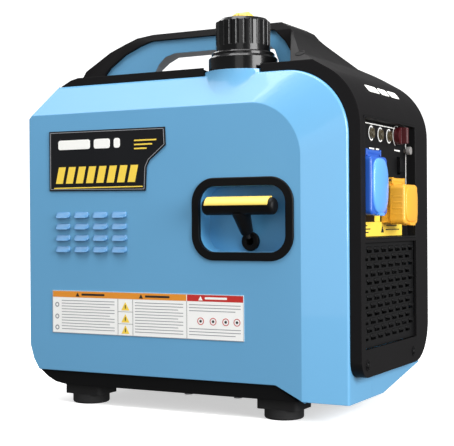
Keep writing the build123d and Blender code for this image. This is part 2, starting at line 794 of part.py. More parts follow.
def intake():
    """Carburettor and air filter housing."""
    with BuildPart() as carb:
        box(-94, -62, 62, 98, 150, 195)
        fillet(carb.edges().filter_by(Axis.Z), 5)
        rod_y(-78, 170, 57.2, 62, 4.5)
        rod_z(-78, 82, 195, 209.8, 12)
    save(carb, "carburettor")
    with BuildPart() as filter_box:
        box(-140, -58, 62, 112, 210, 282)
        fillet(filter_box.edges(), 6)
    save(filter_box, "air_filter_box")


def exhaust():
    """Muffler with its header pipe, and the tail pipe."""
    with BuildPart() as muffler:
        box(-208, -135, -50, 58, 225, 330)
        fillet(muffler.edges().filter_by(Axis.Y), 22)
        fillet(muffler.faces().sort_by(Axis.Y)[0].edges(), 5)
        rod_z(-91, CYL_Y, 201.1, 262, 9)
        rod_x(CYL_Y, 262, -136, -91, 9)
        with Locations((-91, CYL_Y, 262)):
            Sphere(9)
        rod_z(-91, CYL_Y, 201, 258, 7, Mode.SUBTRACT)
    save(muffler, "muffler")
    with BuildPart() as tail:
        rod_x(5, 285, -231, -208.1, 15)
        rod_x(5, 285, -232, -210, 12, Mode.SUBTRACT)
    save(tail, "tail_pipe")


def engine_mounts():
    """Rubber mounts between the tray and the crankcase foot."""
    with BuildPart() as mounts:
        for x in (-12, 100):
            for y in (-6, 50):
                rod_z(x, y, 28.05, 104.95, 11)
    save(mounts, "engine_mounts")


def electronics():
    """Inverter module with its heat sink, and the control box behind the panel."""
    with BuildPart() as inverter:
        box(118, 190, -85, 90, 66, 122)
        with Locations(*[(154, -78 + 12 * i, 119) for i in range(14)]):
            Box(74, 7, 12, mode=Mode.SUBTRACT)
    save(inverter, "inverter_module")
    with BuildPart() as control:
        box(162, 196, -70, 62, 215, 340)
        fillet(control.edges().filter_by(Axis.X), 4)
    save(control, "control_box")


# --- control end --------------------------------------------------------------------------
BLUE_Y, BLUE_Z = -74.0, 273.0
YELLOW_Y, YELLOW_Z = -1.0, 252.0
KNOB_Y, KNOB_Z = 32.0, 337.0
SWITCH_X, SWITCH_Y, SWITCH_Z = 213.0, 40.0, 300.0
BREAKER_Y, BREAKER_Z = 62.0, 320.0
TERMINAL_Y, TERMINAL_Z = -36.5, 258.0
LAMP_YS = (-55.0, -25.0, 5.0)
LAMP_Z = 335.0


def control_panel():
    """Recessed tray that carries the outlets and switches."""
    with BuildPart() as panel:
        y0, y1, z0, z1 = PANEL_Y0 + GAP, PANEL_Y1 - GAP, PANEL_Z0 + GAP, PANEL_Z1 - GAP
        box(X_EDGE + 0.6, SPINE_END, y0, y1, z0, z1)
        box(PANEL_FLOOR, SPINE_END + 1, y0 + 2, y1 - 2, z0 + 2, z1 - 2, Mode.SUBTRACT)
        rod_x(BLUE_Y, BLUE_Z, 205, 220, 20.2, Mode.SUBTRACT)
        rod_x(YELLOW_Y, YELLOW_Z, 205, 220, 16.2, Mode.SUBTRACT)
        rod_x(KNOB_Y, KNOB_Z, 205, 220, 3.05, Mode.SUBTRACT)
        rod_x(BREAKER_Y, BREAKER_Z, 205, 220, 3.05, Mode.SUBTRACT)
        rod_x(TERMINAL_Y, TERMINAL_Z, 205, 220, 3.0, Mode.SUBTRACT)
        box(205, 220, SWITCH_Y - 6.3, SWITCH_Y + 6.3, SWITCH_Z - 11, SWITCH_Z + 11, Mode.SUBTRACT)
        rod_y(SWITCH_X, SWITCH_Z, SWITCH_Y - 7.2, SWITCH_Y + 7.2, 1.05, Mode.SUBTRACT)
    save(panel, "control_panel")


def intake_grille():
    """Louvred grille below the control panel, slots staggered row by row."""
    with BuildPart() as grille:
        y0, y1 = PANEL_Y0 + GAP, PANEL_Y1 - GAP
        box(218.5, 222, y0, y1, GRILLE_Z0 + GAP, GRILLE_Z1 - GAP)
        slots = []
        for row in range(12):
            shift = 6 if row % 2 else -6
            slots += [(220, -89 + shift + 24 * i, 95 + 9.2 * row) for i in range(7)]
        with Locations(*slots):
            Box(10, 17, 4.2, mode=Mode.SUBTRACT)
    save(grille, "intake_grille")


def socket(name, y, z, width, height, bore, x_flange, x_lid, x_front):
    """Outlet body and its hinged lid, opening upwards."""
    half_w, half_h = width / 2, height / 2
    hinge_z = z + half_h + 3
    with BuildPart() as body:
        rod_x(y, z, 198, PANEL_FLOOR + 1, bore)
        box(PANEL_FLOOR + 0.05, x_flange, y - half_w + 2, y + half_w - 2, z - half_h + 2, z + half_h - 0.6)
        for side in (-1, 1):
            ear = y + side * (half_w - 4)
            box(PANEL_FLOOR + 0.05, x_flange + 3, ear - 2, ear + 2, z + half_h - 1, hinge_z + 3.5)
        rod_x(y, z, x_flange - 6, x_flange + 1, bore - 3, Mode.SUBTRACT)
        rod_y(x_flange, hinge_z, y - half_w, y + half_w, 1.5, Mode.SUBTRACT)
    save(body, f"{name}_outlet")
    with BuildPart() as lid:
        box(x_lid, x_front, y - half_w, y + half_w, z - half_h, z + half_h - 2.1)
        fillet(lid.edges().filter_by(Axis.X), 6)
        fillet(lid.faces().sort_by(Axis.X)[-1].edges(), 3)
        box(x_flange - 2, x_lid + 2, y - half_w + 8, y + half_w - 8, z + half_h - 3, hinge_z)
        rod_y(x_flange, hinge_z, y - half_w + 6.6, y + half_w - 6.6, 3.2)
        box(PANEL_FLOOR, x_lid - 0.01, y - half_w, y + half_w, z, z + half_h + 0.15, Mode.SUBTRACT)
        rod_y(x_flange, hinge_z, y - half_w, y + half_w, 1.56, Mode.SUBTRACT)
    save(lid, f"{name}_outlet_lid")
    return x_flange, hinge_z, y - half_w + 2, y + half_w - 2


def outlets():
    """Both outlets with their lids, and the pins of the lids."""
    spans = [
        socket("blue", BLUE_Y, BLUE_Z, 52, 70, 20, 222, 222.3, 232),
        socket("yellow", YELLOW_Y, YELLOW_Z, 48, 50, 16, 226, 226.3, 245),
    ]
    with BuildPart() as pins:
        for x, z, y0, y1 in spans:
            rod_y(x, z, y0, y1, 1.5)
    save(pins, "lid_pins")


def panel_controls():
    """Run knob, rocker switch, breaker button, ground terminal and lamps."""
    with BuildPart() as knob:
        rod_x(KNOB_Y, KNOB_Z, 206, 216, 3)
        rod_x(KNOB_Y, KNOB_Z, PANEL_FLOOR + 0.3, 222, 11)
        box(220, 230, KNOB_Y - 3, KNOB_Y + 3, KNOB_Z - 10, KNOB_Z + 10)
        fillet(knob.faces().sort_by(Axis.X)[-1].edges(), 1.5)
    save(knob, "run_knob")
    with BuildPart() as rocker:
        box(211.5, 219, SWITCH_Y - 6, SWITCH_Y + 6, SWITCH_Z - 9, SWITCH_Z + 9)
        fillet(rocker.edges().filter_by(Axis.Y).group_by(Axis.X)[-1], 2)
        rod_y(SWITCH_X, SWITCH_Z, SWITCH_Y - 7, SWITCH_Y + 7, 1.0)
    save(rocker, "rocker_switch")
    with BuildPart() as button:
        rod_x(BREAKER_Y, BREAKER_Z, 206, 217, 3)
        rod_x(BREAKER_Y, BREAKER_Z, 218, 223, 5)
        rod_x(BREAKER_Y, BREAKER_Z, 216, 219, 3)
    save(button, "breaker_button")
    with BuildPart() as terminal:
        rod_x(TERMINAL_Y, TERMINAL_Z, 206, 227, 3)
        with BuildSketch(x_plane(PANEL_FLOOR + 1.5)) as hexagon:
            with Locations((TERMINAL_Y, TERMINAL_Z)):
                RegularPolygon(6.5, 6)
        extrude(hexagon.sketch, amount=6)
        rod_x(TERMINAL_Y, TERMINAL_Z, PANEL_FLOOR + 0.05, PANEL_FLOOR + 1.5, 8)
    save(terminal, "ground_terminal")
    with BuildPart() as lamps:
        for y in LAMP_YS:
            rod_x(y, LAMP_Z, PANEL_FLOOR + 0.05, 217, 6.5)
            rod_x(y, LAMP_Z, 216, 218, 5, Mode.SUBTRACT)
            rod_x(y, LAMP_Z, 216, 217.5, 3.2)
    save(lamps, "indicator_lamps")


# --- plates -------------------------------------------------------------------------------
def plates():
    """Blank badge plate and rating label on the starter side."""
    badge = [
        (-191.5, 348),
        (-18, 347),
        (-17, 325),
        (-25.7, 318),
        (-40, 307),
        (-44.5, 299),
        (-46, 270),
        (-191.5, 272),
    ]
    with BuildPart() as plate:
        extrude(polygon(y_plane(-140.05), badge), amount=1.4, dir=(0, -1, 0))
    save(plate, "badge_plate")
    with BuildPart() as label:
        box(-188.5, 88, -140.6, -140.05, 91, 145)
    save(label, "info_label")


def build_all():
    """Build and write every piece."""
    front_shell()
    rear_shell()
    service_door()
    case_screws()
    spine_frame()
    handle_liner()
    exhaust_end_panel()
    base_tray()
    rubber_feet()
    starter_bezel()
    starter_pocket()
    rope_guide()
    starter_grip()
    grip_inlay()
    starter_rope()
    recoil_housing()
    recoil_reel()
    fuel_tank()
    filler_collar()
    filler_strainer()
    fuel_cap()
    cap_gasket()
    vent_knob()
    fuel_line()
    crankcase()
    crankcase_cover()
    dipstick()
    cylinder()
    cylinder_head()
    ignition()
    crankshaft()
    rotor_fan()
    stator()
    piston_and_rod()
    intake()
    exhaust()
    engine_mounts()
    electronics()
    control_panel()
    intake_grille()
    outlets()
    panel_controls()
    plates()


build_all()
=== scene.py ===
"""Inverter generator: finishes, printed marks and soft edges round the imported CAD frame.

The mesh code works in millimetres and scales each piece to metres when it is made.
Frame: +X to the control end, -Y to the starter side, +Z up, origin on the floor.
"""

import json
import math

import bmesh
import bpy
from mathutils import Matrix, Vector

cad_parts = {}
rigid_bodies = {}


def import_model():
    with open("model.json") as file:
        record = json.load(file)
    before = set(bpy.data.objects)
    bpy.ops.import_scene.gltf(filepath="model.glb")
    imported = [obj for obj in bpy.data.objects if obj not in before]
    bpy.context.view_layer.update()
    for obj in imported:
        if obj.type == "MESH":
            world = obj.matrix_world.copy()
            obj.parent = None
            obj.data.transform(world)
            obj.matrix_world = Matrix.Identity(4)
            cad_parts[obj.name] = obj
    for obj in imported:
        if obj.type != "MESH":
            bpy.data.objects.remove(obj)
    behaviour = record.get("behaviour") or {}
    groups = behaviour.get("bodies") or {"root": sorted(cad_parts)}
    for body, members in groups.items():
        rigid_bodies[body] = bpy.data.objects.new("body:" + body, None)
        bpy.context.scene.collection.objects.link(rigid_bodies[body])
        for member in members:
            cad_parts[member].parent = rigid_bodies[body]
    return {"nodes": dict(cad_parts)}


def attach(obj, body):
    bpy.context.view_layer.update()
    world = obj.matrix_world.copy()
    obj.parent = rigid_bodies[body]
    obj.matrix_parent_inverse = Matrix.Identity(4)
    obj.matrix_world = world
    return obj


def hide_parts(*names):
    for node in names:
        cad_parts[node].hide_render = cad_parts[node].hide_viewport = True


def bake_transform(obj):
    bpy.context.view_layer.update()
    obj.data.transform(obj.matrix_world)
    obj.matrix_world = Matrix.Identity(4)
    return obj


for left_over in list(bpy.data.objects):
    bpy.data.objects.remove(left_over)

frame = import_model()
scene = bpy.context.scene
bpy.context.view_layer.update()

MM = 0.001
COVER_Y = 140.0
BEVEL_Y = 120.5
SPINE_Y = 118.0
FRONT_Y = -COVER_Y - 0.05
BADGE_TOP = 1.4
LABEL_TOP = 0.55
PANEL_FLOOR = 214.5
END_FACE = 226.0
PULL = Vector((2, -28, 38)).normalized()
GRIP = Vector((89, -152, 249))


# --- finishes -----------------------------------------------------------------------------
def srgb(red, green, blue):
    """Linear colour from display values out of 255."""
    values = [channel / 255 for channel in (red, green, blue)]
    return tuple(((v + 0.055) / 1.055) ** 2.4 if v > 0.04 else v / 12.92 for v in values) + (1.0,)


GRAINS = {
    "fine": ("ShaderNodeTexNoise", (1, 1, 1)),
    "leather": ("ShaderNodeTexVoronoi", (1, 1, 1)),
    "brushed": ("ShaderNodeTexNoise", (1, 0.04, 1)),
    "weave": ("ShaderNodeTexWave", (1, 1, 1)),
}


class Finish:
    """Node tree of one procedural material, built up step by step."""

    def __init__(self, name):
        self.material = bpy.data.materials.new(name)
        self.material.use_nodes = True
        self.tree = self.material.node_tree
        self.shader = self.tree.nodes["Principled BSDF"]
        self.place = self.add("ShaderNodeTexCoord").outputs["Object"]

    def add(self, kind, **values):
        """New node with its settings and unlinked inputs filled in."""
        made = self.tree.nodes.new(kind)
        for key, value in values.items():
            if hasattr(made, key):
                setattr(made, key, value)
            else:
                made.inputs[key.replace("_", " ")].default_value = value
        return made

    def link(self, source, target):
        """Join an output to an input."""
        self.tree.links.new(source, target)

    def texture(self, grain, scale):
        """Height of the surface grain."""
        kind, stretch = GRAINS[grain]
        mapping = self.add("ShaderNodeMapping")
        mapping.inputs["Scale"].default_value = stretch
        self.link(self.place, mapping.inputs["Vector"])
        made = self.add(kind, Scale=scale)
        self.link(mapping.outputs[0], made.inputs["Vector"])
        return made.outputs[0]

    def ranged(self, source, low, high):
        """A 0-1 value stretched between two others."""
        made = self.add("ShaderNodeMapRange", To_Min=low, To_Max=high)
        self.link(source, made.inputs["Value"])
        return made.outputs["Result"]

    def mixed(self, factor, first, second):
        """Colour between two others."""
        made = self.add("ShaderNodeMix", data_type="RGBA")
        made.inputs[6].default_value = first
        made.inputs[7].default_value = second
        self.link(factor, made.inputs[0])
        return made

    def edges(self, radius):
        """Normal that rounds edges off, and how near a point is to one."""
        bevel = self.add("ShaderNodeBevel", samples=6, Radius=radius * MM)
        geometry = self.add("ShaderNodeNewGeometry")
        dot = self.add("ShaderNodeVectorMath", operation="DOT_PRODUCT")
        self.link(bevel.outputs[0], dot.inputs[0])
        self.link(geometry.outputs["Normal"], dot.inputs[1])
        near = self.add("ShaderNodeMapRange", From_Min=0.995, From_Max=0.8, To_Min=0.0, To_Max=1.0)
        self.link(dot.outputs["Value"], near.inputs["Value"])
        return bevel.outputs[0], near.outputs["Result"]


def tint(colour, amount):
    """Colour made lighter or darker by a factor."""
    return tuple(min(1.0, channel * amount) for channel in colour[:3]) + (1.0,)


def finish(name, colour, rough, grain="fine", scale=900.0, depth=0.08, vary=0.05, edge=0.8, **extra):
    """Mottled colour, uneven gloss, surface grain, softened edges and a painted highlight along the edges."""
    made = Finish(name)
    shader = made.shader
    cloud = made.add("ShaderNodeTexNoise", Scale=16.0, Detail=5.0)
    made.link(made.place, cloud.inputs["Vector"])
    speck = made.texture(grain, scale)
    tone = made.mixed(cloud.outputs[0], tint(colour, 1 - vary), tint(colour, 1 + vary))
    fleck = made.add("ShaderNodeMix", data_type="RGBA", blend_type="MULTIPLY")
    fleck.inputs[0].default_value = extra.get("fleck", 0.12)
    made.link(tone.outputs[2], fleck.inputs[6])
    made.link(made.ranged(speck, 0.75, 1.15), fleck.inputs[7])
    normal, near = made.edges(edge)
    # Painted highlight: the colour turns lighter where the surface nears an edge.
    edge_highlight = made.add("ShaderNodeMix", data_type="RGBA")
    made.link(made.ranged(near, 0.0, extra.get("wear", 0.12)), edge_highlight.inputs[0])
    made.link(fleck.outputs[2], edge_highlight.inputs[6])
    edge_highlight.inputs[7].default_value = tint(colour, extra.get("wear_tint", 1.6))
    made.link(edge_highlight.outputs[2], shader.inputs["Base Color"])
    made.link(made.ranged(cloud.outputs[0], rough - 0.06, rough + 0.08), shader.inputs["Roughness"])
    bump = made.add("ShaderNodeBump", Strength=extra.get("strength", 0.25), Distance=depth * MM)
    made.link(speck, bump.inputs["Height"])
    made.link(normal, bump.inputs["Normal"])
    made.link(bump.outputs[0], shader.inputs["Normal"])
    shader.inputs["Metallic"].default_value = extra.get("metallic", 0.0)
    shader.inputs["Coat Weight"].default_value = extra.get("coat", 0.0)
    shader.inputs["Specular IOR Level"].default_value = extra.get("specular", 0.5)
    if "glow" in extra:
        shader.inputs["Emission Color"].default_value = colour
        shader.inputs["Emission Strength"].default_value = extra["glow"]
    return made.material


BLUE = srgb(101, 164, 206)
DARK = srgb(20, 19, 20)
BLACK = srgb(12, 12, 13)
YELLOW = srgb(240, 206, 96)
FINISHES = {
    "blue_plastic": finish("blue_cover", BLUE, 0.34, scale=1400, depth=0.05, vary=0.02, coat=0.35),
    "dark_plastic": finish("dark_frame", DARK, 0.50, "leather", 900, 0.12, 0.06, 1.2, specular=0.12),
    "black_plastic": finish("black_trim", BLACK, 0.42, "leather", 1300, 0.08, 0.10, 0.8, specular=0.15),
    "rubber": finish("rubber", srgb(26, 26, 27), 0.78, "fine", 700, 0.20, 0.12, 1.0),
    "yellow_plastic": finish("yellow_plastic", YELLOW, 0.38, scale=1200, vary=0.03),
    "blue_outlet": finish("outlet_blue", srgb(38, 92, 190), 0.34, scale=1200, vary=0.04, coat=0.2),
    "red_plastic": finish("red_plastic", srgb(70, 16, 22), 0.35, scale=1200, vary=0.06),
    "grey_plastic": finish("grey_plastic", srgb(140, 138, 136), 0.45, scale=1000, vary=0.05),
    "rope": finish("rope", srgb(34, 34, 36), 0.85, "weave", 420, 0.30, 0.15, 0.3, strength=0.6),
    "aluminium": finish("aluminium", srgb(178, 180, 182), 0.34, "brushed", 500, 0.06, 0.06, metallic=1.0),
    "steel": finish("steel", srgb(150, 150, 152), 0.30, "brushed", 700, 0.05, 0.08, metallic=1.0),
    "cast": finish("cast_alloy", srgb(122, 124, 126), 0.58, "fine", 420, 0.35, 0.12, metallic=0.9),
    "lamp": finish("lamp_lens", srgb(74, 66, 44), 0.18, scale=500, vary=0.10, coat=0.8),
    "badge": finish("badge_plate", srgb(24, 25, 28), 0.34, "brushed", 900, 0.04, 0.08, 0.5, specular=0.2),
    "label": finish("label_film", srgb(250, 250, 248), 0.42, scale=1800, depth=0.02, vary=0.02, edge=0.2),
}
AMBER = finish("outlet_amber", srgb(236, 172, 52), 0.38, scale=1200, vary=0.04, coat=0.1)
POCKET_BLUE = finish("starter_pocket_blue", srgb(88, 158, 204), 0.30, scale=1400, depth=0.05, coat=0.2)
PANEL_BLACK = finish("panel_black", srgb(17, 17, 18), 0.45, "leather", 1300, 0.08, specular=0.15)
GLOSS_BLACK = finish("cap_black", BLACK, 0.24, scale=1300, depth=0.04, vary=0.08, coat=0.25, specular=0.2)
BY_NODE = {
    "fuel_cap": GLOSS_BLACK,
    "filler_collar": GLOSS_BLACK,
    "yellow_outlet": AMBER,
    "yellow_outlet_lid": AMBER,
    "control_panel": PANEL_BLACK,
    "intake_grille": PANEL_BLACK,
    "starter_pocket": POCKET_BLUE,
}
# Print colours, together with painted shade: the near-black shade, the dark blue behind the vents and the
# darker blue of the vent hoods.
PRINT_AND_SHADE_FINISHES = {
    "white": finish("print_white", srgb(250, 250, 246), 0.5, scale=2200, vary=0.03, edge=0.1),
    "yellow": finish("print_yellow", srgb(250, 214, 78), 0.5, scale=2200, vary=0.05, edge=0.1),
    "orange": finish("print_orange", srgb(230, 146, 44), 0.5, scale=2200, vary=0.04, edge=0.1),
    "red": finish("print_red", srgb(196, 42, 36), 0.5, scale=2200, vary=0.05, edge=0.1),
    "black": finish("print_black", srgb(28, 28, 30), 0.5, scale=2200, vary=0.08, edge=0.1),
    "grey": finish("print_grey", srgb(150, 152, 156), 0.5, scale=2200, vary=0.08, edge=0.1),
    "shade": finish("shadow_box", srgb(9, 9, 10), 0.9, "fine", 300, 0.3, 0.2, 0.2),
    # Dark blue of painted shade, seen through the cover's vent slots.
    "vent": finish("vent_painted_shade_blue", srgb(30, 62, 92), 0.6, scale=900, vary=0.1, edge=0.2),
    # Cover blue made darker: painted shade on the vent hoods.
    "hood": finish("vent_hood_painted_shade", srgb(78, 136, 184), 0.34, scale=1400, depth=0.05, vary=0.02, coat=0.15),
}


def dress_frame():
    """Give every CAD piece the finish of its material slot."""
    for name, cad in frame["nodes"].items():
        for index, old in enumerate(cad.data.materials):
            cad.data.materials[index] = BY_NODE.get(name, FINISHES[old.name.split(".")[0]])


# --- mesh tools ---------------------------------------------------------------------------
def front(u, v, w):
    """Point on the starter side: right, up and out from the cover's face."""
    return Vector((u, FRONT_Y - w, v))


def end(u, v, w):
    """Point on the control end: towards the rear, up and at an X position."""
    return Vector((w, u, v))


def rear(u, v, w):
    """Point on the rear side: along X, up and at a Y position."""
    return Vector((u, w, v))


def top(u, v, w):
    """Point seen from above: along X, along Y and at a height."""
    return Vector((u, v, w))


def piece(name, draw, body, material, smooth=32):
    """New mesh piece, drawn in millimetres, riding on a body."""
    work = bmesh.new()
    draw(work)
    bmesh.ops.recalc_face_normals(work, faces=work.faces)
    bmesh.ops.scale(work, vec=(MM, MM, MM), verts=work.verts)
    return place_mesh(name, work, body, material, smooth)


def place_mesh(name, work, body, material, smooth):
    """Object made from finished mesh data in metres."""
    data = bpy.data.meshes.new(name)
    work.to_mesh(data)
    work.free()
    data.polygons.foreach_set("use_smooth", [True] * len(data.polygons))
    data.set_sharp_from_angle(angle=math.radians(smooth))
    data.materials.append(material)
    made = bpy.data.objects.new(name, data)
    scene.collection.objects.link(made)
    if body:
        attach(made, body)
    return made


def stack(work, layers, place):
    """Closed body through outlines with equal numbers of points at rising heights."""
    rings = [[work.verts.new(place(u, v, w)) for u, v in outline] for outline, w in layers]
    count = len(rings[0])
    for lower, upper in zip(rings, rings[1:]):
        for i in range(count):
            j = (i + 1) % count
            work.faces.new((lower[i], lower[j], upper[j], upper[i]))
    work.faces.new(rings[0][::-1])
    work.faces.new(rings[-1])


def rounded(u0, u1, v0, v1, radius, steps=4):
    """Rectangle outline with round corners."""
    corners = ((u1, v1, 0), (u0, v1, 90), (u0, v0, 180), (u1, v0, 270))
    points = []
    for u, v, start in corners:
        centre_u = u - math.copysign(radius, u - (u0 + u1) / 2)
        centre_v = v - math.copysign(radius, v - (v0 + v1) / 2)
        for i in range(steps + 1):
            angle = math.radians(start + 90 * i / steps)
            points.append((centre_u + radius * math.cos(angle), centre_v + radius * math.sin(angle)))
    return points


def bar(work, place, u0, u1, v0, v1, w0, w1, radius=0.4):
    """Low raised bar with round ends and an eased top edge."""
    ease = min(0.15, (w1 - w0) / 3)
    layers = [
        (rounded(u0, u1, v0, v1, radius), w0),
        (rounded(u0, u1, v0, v1, radius), w1 - ease),
        (rounded(u0 + ease, u1 - ease, v0 + ease, v1 - ease, max(radius - ease, 0.05)), w1),
    ]
    stack(work, layers, place)


def slab(work, place, outline, w0, w1):
    """Closed slab of any outline."""
    stack(work, [(outline, w0), (outline, w1)], place)


def triangle(u, v, size):
    """Upright triangle outline round a centre."""
    return [(u - size, v - size * 0.75), (u + size, v - size * 0.75), (u, v + size)]


def circle(u, v, radius, count=20):
    """Round outline."""
    turns = [2 * math.pi * i / count for i in range(count)]
    return [(u + radius * math.cos(t), v + radius * math.sin(t)) for t in turns]


def arc_band(work, place, centre, radii, angles, heights, count=22):
    """Flat band that follows part of a circle."""
    turns = [math.radians(angles[0] + (angles[1] - angles[0]) * i / count) for i in range(count + 1)]
    u, v = centre
    outer = [(u + radii[1] * math.cos(t), v + radii[1] * math.sin(t)) for t in turns]
    inner = [(u + radii[0] * math.cos(t), v + radii[0] * math.sin(t)) for t in reversed(turns)]
    rings = [[work.verts.new(place(a, b, w)) for a, b in outer + inner] for w in heights]
    total = len(rings[0])
    for i in range(total):
        j = (i + 1) % total
        work.faces.new((rings[0][i], rings[0][j], rings[1][j], rings[1][i]))
    for ring in rings:
        for i in range(count):
            work.faces.new((ring[i], ring[i + 1], ring[total - 2 - i], ring[total - 1 - i]))


def frame_line(work, place, box, line, w0, w1):
    """Thin line round a rectangle."""
    u0, u1, v0, v1 = box
    bar(work, place, u0, u1, v1 - line, v1, w0, w1, line / 3)
    bar(work, place, u0, u1, v0, v0 + line, w0, w1, line / 3)
    bar(work, place, u0, u0 + line, v0 + line, v1 - line, w0, w1, line / 3)
    bar(work, place, u1 - line, u1, v0 + line, v1 - line, w0, w1, line / 3)


def screw_head(work, place, u, v, w, radius):
    """Domed screw head with a cross of raised quarters."""
    layers = [
        (circle(u, v, radius), w),
        (circle(u, v, radius), w + radius * 0.25),
        (circle(u, v, radius * 0.82), w + radius * 0.42),
    ]
    stack(work, layers, place)
    for du in (-1, 1):
        for dv in (-1, 1):
            cu = u + du * radius * 0.34
            cv = v + dv * radius * 0.34
            half = radius * 0.22
            quarter = rounded(cu - half, cu + half, cv - half, cv + half, half * 0.5, 2)
            slab(work, place, quarter, w + radius * 0.41, w + radius * 0.55)


# --- softened covers ----------------------------------------------------------------------
def soften(node, rounds, slot):
    """Copy of a CAD piece with chosen outer edges rounded, shown in its place."""
    work = bmesh.new()
    work.from_mesh(frame["nodes"][node].data)
    bmesh.ops.remove_doubles(work, verts=work.verts, dist=1e-6)
    flat = math.radians(0.3)
    bmesh.ops.dissolve_limit(work, angle_limit=flat, verts=work.verts, edges=work.edges)
    for width, test in rounds:
        chosen = [edge for edge in work.edges if is_outer(edge) and test(edge)]
        bmesh.ops.bevel(
            work,
            geom=chosen,
            offset=width * MM,
            offset_type="OFFSET",
            segments=4,
            profile=0.5,
            affect="EDGES",
            clamp_overlap=True,
        )
    made = place_mesh(f"{node}_soft", work, "root", FINISHES[slot], 30)
    made.modifiers.new("weighted", "WEIGHTED_NORMAL").keep_sharp = True
    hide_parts(node)


LEAST_CREASE = math.radians(10)


def is_outer(edge):
    """True for a clear convex crease."""
    return edge.is_convex and len(edge.link_faces) == 2 and edge.calc_face_angle() > LEAST_CREASE


def both(edge, y):
    """True when both ends of an edge lie on a plane at this Y, in millimetres."""
    return all(abs(vert.co.y / MM - y) < 0.05 for vert in edge.verts)


def middle(edge):
    """Middle of an edge in millimetres."""
    return (edge.verts[0].co + edge.verts[1].co) / 2 / MM


def in_opening(edge):
    """True at the rims of the starter opening and the vents."""
    spot = middle(edge)
    starter = 20 < spot.x < 150 and 185 < spot.z < 285
    vents = -190 < spot.x < -70 and 185 < spot.z < 250
    return starter or vents


def soften_covers():
    """Round the moulded edges of the covers and of the dark frame."""
    front_rounds = [
        (5.0, lambda e: both(e, -COVER_Y) and not in_opening(e)),
        (6.0, lambda e: both(e, -BEVEL_Y)),
    ]
    rear_rounds = [
        (5.0, lambda e: both(e, COVER_Y) and middle(e).x > 100),
        (6.0, lambda e: both(e, BEVEL_Y)),
    ]
    spine_rounds = [(5.0, lambda e: (both(e, -SPINE_Y) or both(e, SPINE_Y)) and middle(e).x > 120)]
    soften("front_shell", front_rounds, "blue_plastic")
    soften("rear_shell", rear_rounds, "blue_plastic")
    soften("spine_frame", spine_rounds, "dark_plastic")


# --- starter side -------------------------------------------------------------------------
VENTS = [(-171 + 28.6 * i, 240 - 14.4 * j) for i in range(4) for j in range(4)]


def hood(work, place, u, v, half, height, rise, base):
    """Louvre hood: deepest along its lower edge, closed at the top and ends."""

    def sloped(a, b, w):
        share = 1 - 0.85 * (b - v) / height
        return place(a, b, base + w * share)

    shapes = ((0.0, 0.0), (0.15, rise * 0.55), (0.6, rise * 0.85), (1.3, rise))
    layers = []
    for inset, w in shapes:
        outline = rounded(u - half + inset, u + half - inset, v, v + height - inset, height * 0.36, 5)
        layers.append((outline, w))
    stack(work, layers, sloped)


def vent_hoods():
    """Raised hoods over the cover's vents in a darker blue of painted shade, and a dark-blue box of painted
    shade behind them.
    """

    def draw(work):
        for u, v in VENTS:
            hood(work, front, u, v - 3.0, 11.0, 7.8, 4.2, 0.0)

    piece("vent_hoods", draw, "root", PRINT_AND_SHADE_FINISHES["hood"], 50)

    def box(work):
        bar(work, front, -186, -72, 188, 250, -5.2, -3.6, 3)
        for i in range(6):
            bar(work, front, -184, -74, 192 + 10 * i, 194 + 10 * i, -3.7, -3.3, 0.5)

    piece("vent_painted_shade_box", box, "root", PRINT_AND_SHADE_FINISHES["vent"])


def leaning(u0, u1, v0, v1, lean):
    """Parallelogram outline."""
    return [(u0, v0), (u1, v0), (u1 + lean, v1), (u0 + lean, v1)]


def badge_marks():
    """Blank marks on the badge: bars above, slanted blocks below, a thin border."""
    low = BADGE_TOP
    high = BADGE_TOP + 0.5

    def white(work):
        for u0, u1, v0, v1 in ((-177, -128, 324, 336), (-122, -98, 324, 336), (-92, -83, 324, 336)):
            bar(work, front, u0, u1, v0, v1, low, high, 3)

    def yellow(work):
        for u0, u1, v in ((-62, -30, 331), (-62, -36, 326), (-62, -44, 321)):
            bar(work, front, u0, u1, v, v + 1.8, low, high, 0.6)
        for i in range(8):
            u = -181 + 15.6 * i
            slab(work, front, leaning(u, u + 10.5, 281, 302, 5), low, high)
        bar(work, front, -184, -50, 274.6, 276, low, high, 0.5)

    def border(work):
        outline = [(-189.5, 346), (-20, 345), (-19, 326), (-42, 308), (-46.5, 299), (-48, 272), (-189.5, 274)]
        for (u0, v0), (u1, v1) in zip(outline, outline[1:] + outline[:1]):
            along = Vector((u1 - u0, v1 - v0)).normalized() * 0.35
            across = Vector((-along.y, along.x))
            corners = [(u0 - across.x, v0 - across.y), (u1 - across.x, v1 - across.y)]
            corners += [(u1 + across.x, v1 + across.y), (u0 + across.x, v0 + across.y)]
            slab(work, front, corners, low, low + 0.2)

    piece("badge_marks_white", white, "root", PRINT_AND_SHADE_FINISHES["white"])
    piece("badge_marks_yellow", yellow, "root", PRINT_AND_SHADE_FINISHES["yellow"])
    piece("badge_border", border, "root", PRINT_AND_SHADE_FINISHES["grey"])


LABEL_LOW = LABEL_TOP
LABEL_HIGH = LABEL_TOP + 0.12
LABEL_ROWS = (127, 112, 98)
LABEL_RINGS = (30, 47, 64, 79)
RING_V = 113


def grey_lines(work, u0, u1, rows):
    """Thin blank lines that stand for small print."""
    for index, v in enumerate(rows):
        short = 9 if index % 3 == 2 else 2
        bar(work, front, u0, u1 - short, v, v + 0.9, LABEL_LOW, LABEL_HIGH, 0.3)


